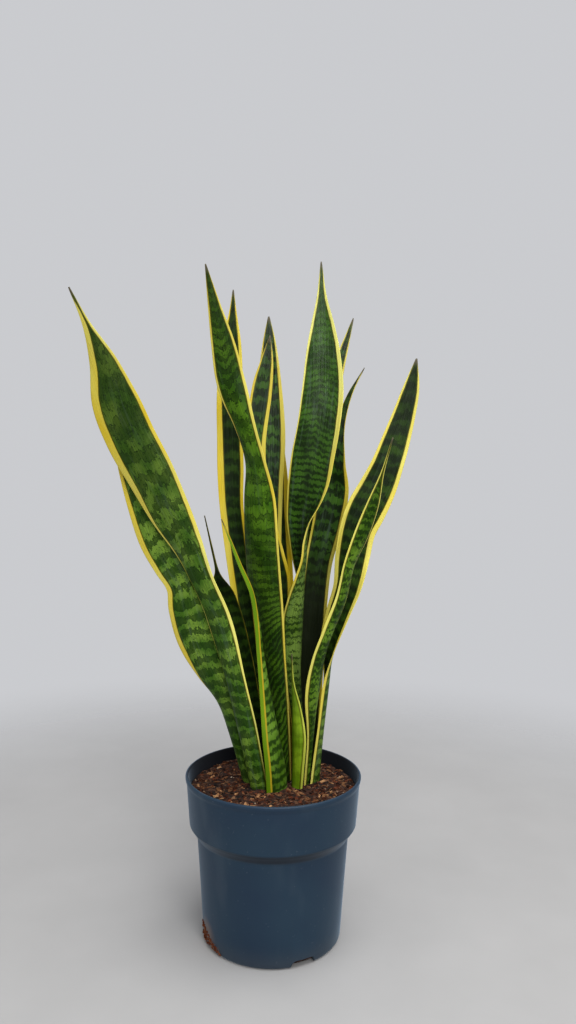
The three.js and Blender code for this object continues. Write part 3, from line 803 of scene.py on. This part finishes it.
            (-27.5, -33, 416, -92, 7), (-41, -36, 448, -95, 5.5), (-52, -38, 476, -98, 3),
            (-62, -40, 500, -100, 0.7),
        ],
    },
    "leafLeftInner": {
        "cup": (60, 20, 2), "ripple": (0.5, 120), "warmth": 0.8,
        "minus": [(0, 1.4), (0.6, 1.6), (0.75, 0.8), (1, 0)],
        "plus": [(0, 0.2), (1, 0)],
        "rows": [
            (-14, 22, 150, 10, 8), (-20, 22, 225, 8, 10), (-32, 22, 294, 5, 12), (-46, 20, 354, 0, 13.5),
            (-59, 19, 397, -8, 14), (-67, 18, 417, -20, 11.5), (-71, 17, 436, -38, 3),
            (-78, 17, 466, -48, 1.5), (-86, 16, 501, -50, 0.7),
        ],
    },
}

# Ground and band are greens. Jag, wander and break shape the bands. Contrast, lines and the painted sheen are
# strengths.
leafFinishes = {
    "bright": {
        "ground": "6e8a38", "groundDeep": "446620", "band": "1a330b",
        "jag": 1.2, "wander": 1.4, "break": 1.3, "cover": 0.42, "soft": 0.12, "lineRate": 2.2,
        "lines": 1.0, "contrast": 0.68, "veil": 0.34, "gloss": 0.42,
    },
    "fine": {
        "ground": "587c20", "groundDeep": "3a5e12", "band": "091a03",
        "jag": 1.1, "wander": 1.0, "break": 1.5, "cover": 0.41, "soft": 0.14, "lineRate": 1.6,
        "lines": 0.95, "contrast": 0.74, "veil": 0.12, "gloss": 0.38,
    },
    "pale": {
        "ground": "728c42", "groundDeep": "526e24", "band": "142a06",
        "jag": 1.8, "wander": 1.2, "break": 2.0, "cover": 0.27, "soft": 0.22, "lineRate": 1.3,
        "lines": 0.95, "contrast": 0.7, "veil": 0.15, "gloss": 0.38,
    },
    "fresh": {
        "ground": "66862a", "groundDeep": "406014", "band": "183006",
        "jag": 2.2, "wander": 0.8, "break": 2.4, "cover": 0.34, "soft": 0.22, "lineRate": 1.6,
        "lines": 0.9, "contrast": 0.8, "veil": 0.06, "gloss": 0.38,
        "margin": ("dcd878", "bfae30"),
    },
    "mid": {
        "ground": "426620", "groundDeep": "2c4a12", "band": "0a1a03",
        "jag": 1.5, "wander": 1.0, "break": 1.8, "cover": 0.42, "soft": 0.24, "lineRate": 1.0,
        "lines": 0.75, "contrast": 0.85, "veil": 0.42, "gloss": 0.30, "shine": 0.2,
    },
    # painted shade: this darker palette is the green of faces and leaves that lie in shade
    "deep": {
        "ground": "2e4612", "groundDeep": "20360c", "band": "0c1905",
        "jag": 1.1, "wander": 0.9, "break": 1.4, "cover": 0.5, "soft": 0.4, "lineRate": 1.0,
        "lines": 0.4, "contrast": 0.75, "veil": 0.06, "gloss": 0.4,
    },
    "lime": {
        "ground": "7c9624", "groundDeep": "607e16", "band": "566a0e",
        "jag": 1.2, "wander": 0.8, "break": 2.6, "cover": 0.3, "soft": 0.6, "lineRate": 1.0,
        "lines": 0.15, "contrast": 0.5, "veil": 0.1, "gloss": 0.42,
        "margin": ("bcc45c", "9ca42c"),
    },
    # painted light: the strip's wide lime margin stands for the far half of the folded leaf, lit through from
    # behind
    "strip": {
        "ground": "6a8c34", "groundDeep": "4c6c1c", "band": "1c340c",
        "jag": 1.2, "wander": 0.9, "break": 2.0, "cover": 0.42, "soft": 0.3, "lineRate": 1.0,
        "lines": 0.6, "contrast": 0.8, "veil": 0.1, "gloss": 0.38,
        "margin": ("769420", "4e7410"), "line": "b09c2c", "lineGain": 2.0,
    },
}
leafTints = {
    "margin": ("dad678", "d0b422"),
    "line": "4a4a10",
    "veil": "64766a",
    "shadow": "091405",
    "marginShadow": "2c3414",
    "stripe": "9c9230",
    "paleTip": "a8a070",
    "dryTip": "56503f",
    "dust": "6f7866",
    "streakGain": (1.5, 1.45, 1.3, 1),
}


def leafMaterial(name, look):
    material, tree, shader = newMaterial(name)
    place, edge, style, tone = (attribute(tree, "leaf" + part) for part in ("Place", "Edge", "Style", "Tone"))
    tipGap = split(tree, edge)[2]
    dark = split(tree, tone)[2]
    strength = split(tree, style)[2]
    band = placeGroup(tree, bands, {
        "Place": place, "Tone": tone, "Style": style, "Jag": look["jag"], "Wander": look["wander"],
        "Break": look["break"], "Cover": look["cover"], "Soft": look["soft"], "LineRate": look["lineRate"],
    })
    fibre = placeGroup(tree, fibres, {"Place": place, "Tone": tone})
    margin = placeGroup(tree, margins, {"Place": place, "Edge": edge, "Tone": tone})
    film = placeGroup(tree, dust, {"Place": place, "Scale": 0.05, "Amount": 0.3})
    green = mixColors(tree, rangeTo(tree, band["Drift"], 0.36, 0.64), look["ground"], look["groundDeep"])
    streaks = rangeTo(tree, fibre["Streak"], 0.45, 0.8)
    green = mixColors(tree, streaks, green, leafTints["streakGain"], "MULTIPLY")
    green = layered(
        tree, green,
        (calc(tree, "MULTIPLY", band["Mask"], strength), look["contrast"], look["band"]),
        (band["Lines"], look["lines"], look["band"]),
        (rangeTo(tree, fibre["Streak"], 0.48, 0.25), 0.3, look["band"]),
        # painted sheen: grey-blue streaks of reflected light
        (fibre["Veil"], look["veil"], leafTints["veil"]),
        # painted shade: the leaf's darkness lays a shadow green over it
        (dark, 1, leafTints["shadow"]),
    )
    paleYellow, deepYellow = look.get("margin", leafTints["margin"])
    yellow = layered(
        tree, paleYellow,
        (margin["Depth"], 1, deepYellow),
        (margin["Stripe"], 0.3, leafTints["stripe"]),
        (rangeTo(tree, tipGap, 2.0, 26.0, 1.0, 0.0), 0.7, leafTints["paleTip"]),
    )
    color = layered(
        tree, green,
        (margin["Yellow"], 1, yellow),
        (margin["Line"], look.get("lineGain", 0.75), look.get("line", leafTints["line"])),
        # painted shade on the yellow margins too
        (dark, 0.3, leafTints["marginShadow"]),
        (rangeTo(tree, tipGap, 3.0, 12.0, 1.0, 0.0), 1, leafTints["dryTip"]),
        (film["Mask"], 0.1, leafTints["dust"]),
    )
    height = calc(tree, "MULTIPLY_ADD", fibre["Streak"], 0.35, fibre["Ribs"])
    feed(tree, shader.inputs, {
        "Base Color": color,
        "Roughness": calc(tree, "MULTIPLY_ADD", fibre["Ribs"], 0.24, look["gloss"] - 0.1),
        "Specular IOR Level": look.get("shine", 0.12),
        "Normal": addBump(tree, height, 0.6, 0.0014),
    })
    return material


leafMaterials = {
    name: leafMaterial("leaf" + name.capitalize(), look) for name, look in leafFinishes.items()
}


def curveAt(rows, t):  # a smooth line through the rows, and its slope
    i = min(int(t), len(rows) - 2)
    f = t - i
    b, c = rows[i], rows[i + 1]
    a = rows[i - 1] if i else [2 * p - q for p, q in zip(b, c)]
    d = rows[i + 2] if i + 2 < len(rows) else [2 * q - p for p, q in zip(b, c)]
    point, slope = [], []
    for p0, p1, p2, p3 in zip(a, b, c, d):
        first, last = (p2 - p0) / 2, (p3 - p1) / 2
        square = 3 * (p2 - p1) - 2 * first - last
        cube = 2 * (p1 - p2) + first + last
        point.append(p1 + f * (first + f * (square + f * cube)))
        slope.append(first + f * (2 * square + 3 * f * cube))
    return point, slope


def stepped(pairs, share):  # straight lines between (share, value) pairs; one number holds all along
    if not isinstance(pairs, list):
        return pairs
    if share <= pairs[0][0]:
        return pairs[0][1]
    for (low, first), (high, last) in zip(pairs, pairs[1:]):
        if share <= high:
            return first + (last - first) * (share - low) / (high - low)
    return pairs[-1][1]


def measured(rows):  # close steps along the rows, and the leaf's length up to each
    samples = leafSheet["samples"]
    steps = [k / samples * (len(rows) - 1) for k in range(samples + 1)]
    spots = [Vector(curveAt(rows, t)[0][:3]) for t in steps]
    lengths = [0.0]
    for near, far in zip(spots, spots[1:]):
        lengths.append(lengths[-1] + (far - near).length)
    return steps, lengths


def leafStations(leaf, seed):  # what each line across the leaf needs to know
    steps, lengths = measured(leaf["rows"])
    total = lengths[-1]
    lines = round(total / leafSheet["rowLength"])
    rootCup, tipCup, uncurl = leaf["cup"]
    swing, swingLength = leaf["ripple"]
    stations = []
    k = 0
    count = 0.0
    for j in range(lines + 1):
        share = j / lines
        while k < leafSheet["samples"] - 1 and lengths[k + 1] < share * total:
            k += 1
        beyond = (share * total - lengths[k]) / (lengths[k + 1] - lengths[k])
        point, slope = curveAt(leaf["rows"], steps[k] + (steps[k + 1] - steps[k]) * beyond)
        tangent = Vector(slope[:3]).normalized()
        heading = math.radians(point[3])
        flat = Vector((math.cos(heading), math.sin(heading), 0))
        side = (flat - flat.dot(tangent) * tangent).normalized()
        half = max(point[4], leafSheet["leastHalf"])
        cup = math.radians(tipCup + (rootCup - tipCup) * (1 - share) ** uncurl)
        bend = half / cup
        edge = leafSheet["marginThickness"]
        crown = min(stepped(leafSheet["thickness"], share), max(half, edge), leafSheet["crownLimit"] * bend)
        stations.append(SimpleNamespace(
            middle=Vector(point[:3]), side=side, face=side.cross(tangent), half=half, cup=cup, bend=bend,
            crown=crown, edge=min(edge, crown), along=share * total, toTip=(1 - share) * total, count=count,
            wave=swing * math.sin(math.pi * share) * math.sin(2 * math.pi * share * total / swingLength),
            minus=stepped(leaf["minus"], share), plus=stepped(leaf["plus"], share),
            style=tuple(stepped(leaf[key], share) for key in ("chevron", "ridge", "strength")),
            tone=(seed, stepped(leaf["warmth"], share), stepped(leaf["dark"], share)),
        ))
        count += total / lines / stepped(leaf["bands"], share)
    return stations


def buildLeaf(name, leaf, number):
    stations = leafStations(leaf, 11.0 * number + 5.0)
    lines = len(stations) - 1
    wide = max(row[4] for row in leaf["rows"]) > leafSheet["narrowUpTo"]
    columns = leafSheet["columns" if wide else "columnsNarrow"]
    bm = bmesh.new()
    bmesh.ops.create_grid(bm, x_segments=columns, y_segments=lines, size=1)
    placeLayer, edgeLayer, toneLayer, styleLayer = (
        bm.verts.layers.float_vector.new("leaf" + part) for part in ("Place", "Edge", "Tone", "Style")
    )
    made = bmesh.ops.extrude_face_region(bm, geom=bm.faces[:])
    outer = {v for v in made["geom"] if isinstance(v, bmesh.types.BMVert)}
    outerFaces = {f for f in made["geom"] if isinstance(f, bmesh.types.BMFace)}
    crowding = leafSheet["crowding"]
    thinning, thinningPower = leafSheet["edgeThinning"]
    for vert in bm.verts:
        s = max(-1.0, min(1.0, vert.co.x))
        at = stations[round((vert.co.y + 1) / 2 * lines)]
        u = (1 - crowding) * s + crowding * math.sin(math.pi / 2 * s)
        angle = at.cup * u
        deep = at.bend * (1 - math.cos(angle)) - at.bend * (1 - math.cos(at.cup)) / 2
        point = at.middle + at.side * (at.bend * math.sin(angle)) + at.face * (deep + at.wave * u ** 3)
        normal = at.face * math.cos(angle) - at.side * math.sin(angle)
        thick = (at.edge + (at.crown - at.edge) * (1 - u * u)) / 2 * (1 - thinning * abs(u) ** thinningPower)
        vert.co = (point + normal * (-thick if vert in outer else thick)) * mm
        vert[placeLayer] = (at.half * u, at.along, at.count)
        vert[edgeLayer] = (at.half * (1 + u) - at.minus, at.half * (1 - u) - at.plus, at.toTip)
        vert[styleLayer] = at.style
        vert[toneLayer] = at.tone
    for f in bm.faces:
        f.material_index = 0 if f in outerFaces else 1
    bmesh.ops.recalc_face_normals(bm, faces=bm.faces[:])
    node = "".join("_" + letter.lower() if letter.isupper() else letter for letter in name)
    return finishPiece(bm, name, [node], [leafMaterials[look] for look in leaf["finish"]])


leafPieces = [
    buildLeaf(name, leafDefaults | leaf, number) for number, (name, leaf) in enumerate(leaves.items())
]
print("leaves: %d faces" % sum(len(piece.data.polygons) for piece in leafPieces))


# Loose bits in the soil: crumbs, bark chips, coir fibres and white perlite

# Size is the range of a bit's length in millimetres. Wide, flat and sink are shares of the length.
looseBits = {
    "soilCrumbs": {
        "count": 1100, "size": (2.0, 7.5), "wide": 0.85, "flat": 0.7, "sink": 0.3,
        "colors": ("180c08", "6e3f2a"), "footCount": 150, "footSize": (1.2, 3.6),
    },
    "barkChips": {
        "count": 240, "size": (2.5, 8.0), "wide": 0.45, "flat": 0.25, "sink": 0.0,
        "colors": ("4e2c1c", "b08862"),
    },
    "coirFibres": {
        "count": 230, "size": (7.0, 20.0), "wide": 0.025, "flat": 0.025, "sink": -0.03,
        "colors": ("5a3420", "a07852"), "footCount": 26, "footSize": (6, 12),
    },
    "perliteBits": {
        "count": 50, "size": (1.6, 3.4), "wide": 0.9, "flat": 0.8, "sink": 0.0,
        "colors": ("7c6a58", "b8a896"),
    },
}
scatter = {
    "seed": 41,
    "reach": 98.0,
    "edge": 98.5,  # no bit lies past this
    "edgeFade": 3,
    "leafGap": (1.0, 0.4),  # clear of the leaves: at least this, and this share of the bit's size more
    "leafBand": 4,  # how near the soil's top a point of a leaf counts as where it comes out
}
footPatch = {  # roots and soil that stick out of the left drain notch
    "angle": (-169, -135),
    "height": (3.5, 27),
    "wall": (82.5, 0.06),  # the pot's radius at the floor and growth upward
    "proud": 0.2,  # how far the middle of a bit stands out of the wall at most
}
dice = random.Random(scatter["seed"])
leafMarks = [
    v.co.xy.to_3d() for piece in leafPieces for v in piece.data.vertices
    if abs(v.co.z / mm - soil["top"]) < scatter["leafBand"]
]
marksTree = KDTree(len(leafMarks))
for index, mark in enumerate(leafMarks):
    marksTree.insert(mark, index)
marksTree.balance()


def addBit(bm, kind, place, turn, size, tone):
    look = looseBits[kind]
    shape = Matrix.Diagonal((size, size * look["wide"], size * look["flat"], 1))
    matrix = Matrix.Translation(place * mm) @ turn.to_matrix().to_4x4() @ shape
    if kind == "coirFibres":
        start = len(bm.verts)
        bmesh.ops.create_cone(bm, segments=3, radius1=0.6, radius2=0.35, depth=1.0, cap_ends=True)
        bm.verts.ensure_lookup_table()
        edges = {e for v in bm.verts[start:] for e in v.link_edges}
        lengthwise = [e for e in edges if abs(e.verts[0].co.z - e.verts[1].co.z) > 0.5]
        bmesh.ops.subdivide_edges(bm, edges=lengthwise, cuts=4)
        bm.verts.ensure_lookup_table()
        made = bm.verts[start:]
        bow = dice.uniform(-0.5, 0.5)
        bend = dice.uniform(-3, 3)
        for vert in made:
            x, y, z = vert.co
            reach = bow * (1 - 4 * z * z)
            vert.co = matrix @ Vector((z, y + reach / look["wide"] * 0.5, x + bend * math.sin(6 * z)))
    elif kind == "barkChips":
        made = bmesh.ops.create_cube(bm, size=1.0)["verts"]
        for vert in made:
            vert.co.y *= 1 - 0.5 * dice.random() * (vert.co.x > 0)
            vert.co.x += dice.uniform(-0.15, 0.15)
            vert.co = matrix @ vert.co
    else:
        made = bmesh.ops.create_icosphere(bm, subdivisions=1, radius=0.5)["verts"]
        for vert in made:
            vert.co = matrix @ (vert.co * dice.uniform(0.7, 1.15))
    for vert in made:
        vert[bm.verts.layers.float["bitTone"]] = tone


def scatterOnSoil(bm, kind):
    look = looseBits[kind]
    gap, gapShare = scatter["leafGap"]
    left = look["count"]
    while left:
        reach, angle = scatter["reach"] * math.sqrt(dice.random()), dice.uniform(0, 2 * math.pi)
        x, y = reach * math.cos(angle), reach * math.sin(angle)
        size = dice.uniform(*look["size"])
        toLeaf = marksTree.find((x * mm, y * mm, 0))[2]
        if toLeaf < (gap + gapShare * size) * mm or reach > scatter["edge"] - size / 2:
            continue
        left -= 1
        place = Vector((x, y, soilHeight(x, y, scatter["edgeFade"]) - look["sink"] * size / 2))
        turn = Euler((dice.uniform(-0.5, 0.5), dice.uniform(-0.35, 0.35), dice.uniform(0, 2 * math.pi)))
        addBit(bm, kind, place, turn, size * mm, dice.random() ** 1.4)


def scatterAtFoot(bm, kind):
    look = looseBits[kind]
    angleFrom, angleTo = footPatch["angle"]
    lowest, highest = footPatch["height"]
    wallRadius, wallSlope = footPatch["wall"]
    for _ in range(look.get("footCount", 0)):
        share = dice.random()
        angle = math.radians(angleFrom + (angleTo - angleFrom) * share)
        high = lowest + (highest - lowest) * dice.random() * (1 - share) ** 0.8
        size = dice.uniform(*look["footSize"])
        reach = wallRadius + wallSlope * high + footPatch["proud"] * dice.random()
        place = Vector((reach * math.cos(angle), reach * math.sin(angle), max(high, 0.6 * size)))
        turn = Euler((dice.uniform(-0.6, 0.6), dice.uniform(-1.2, 1.2), angle + math.pi / 2))
        addBit(bm, kind, place, turn, size * mm, 0.72 + 0.28 * dice.random())


def bitMaterial(kind):
    material, tree, shader = newMaterial(kind + "Look")
    grain = noiseAt(tree, objectSpot(tree), 700.0, 4.0, 0.6)
    blend = swayed(tree, attribute(tree, "bitTone", "Fac"), grain, 0.9, clamp=True)
    feed(tree, shader.inputs, {
        "Base Color": mixColors(tree, blend, *looseBits[kind]["colors"]),
        "Roughness": 0.9,
        "Specular IOR Level": 0.2,
        "Normal": addBump(tree, grain, 0.6, 0.0006),
    })
    return material


for kind in looseBits:
    bm = bmesh.new()
    bm.verts.layers.float.new("bitTone")
    scatterOnSoil(bm, kind)
    scatterAtFoot(bm, kind)
    bmesh.ops.recalc_face_normals(bm, faces=bm.faces[:])
    piece = finishPiece(bm, kind, (), [bitMaterial(kind)], sharpAngle=40)
    print("%s: %d faces" % (kind, len(piece.data.polygons)))

low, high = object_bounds()
